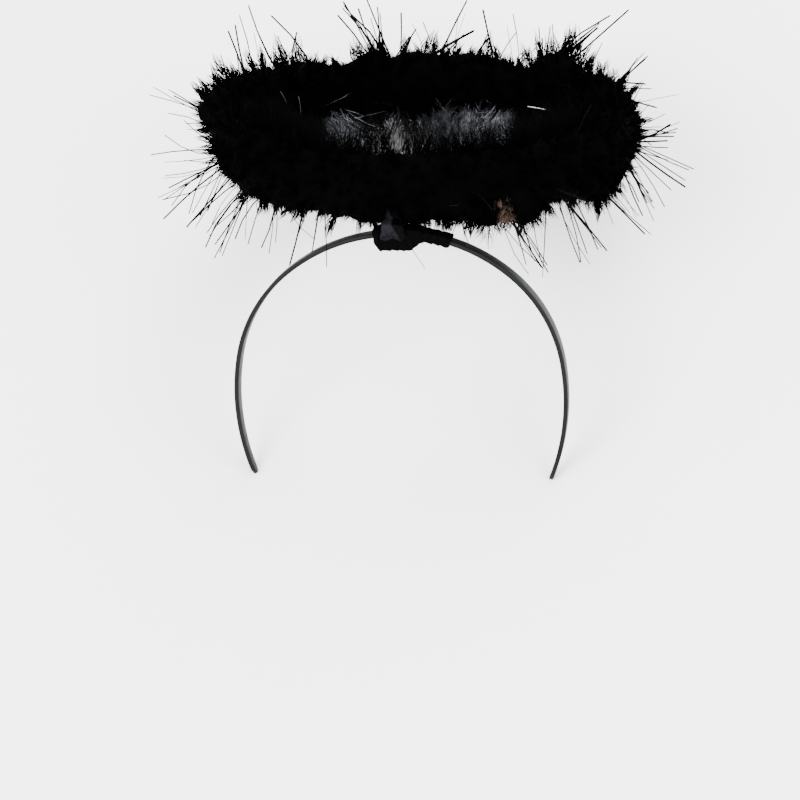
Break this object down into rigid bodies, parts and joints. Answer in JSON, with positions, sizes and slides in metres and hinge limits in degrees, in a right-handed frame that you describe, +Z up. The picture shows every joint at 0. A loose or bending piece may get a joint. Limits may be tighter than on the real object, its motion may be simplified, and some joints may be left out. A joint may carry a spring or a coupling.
{
  "type": "costume halo headband",
  "caption": "Black costume halo: a feather ring with tinsel strands, held above a plastic headband by a ribbon-wrapped wire stem.",
  "frame": {"origin": "centre of the footprint's box, on the surface that the part lies on", "axes": "+Z up; +Y from the headband's tips towards the back of the ring; +X to the wearer's left, across the head"},
  "size_m": [0.2678, 0.2854, 0.1525],
  "materials": {
    "headband_plastic": "satin",
    "binding_tape": "matt",
    "satin_ribbon": "satin",
    "black_wire": "satin",
    "marabou_feather": "matt",
    "tinsel_film": "shiny"
  },
  "bodies": {
    "root": {"headband": "headband_plastic", "foot_wrap": "binding_tape", "stem_ribbon": "satin_ribbon", "wire_frame": "black_wire", "marabou_ring": "marabou_feather", "tinsel": "tinsel_film"}
  },
  "joints": []
}
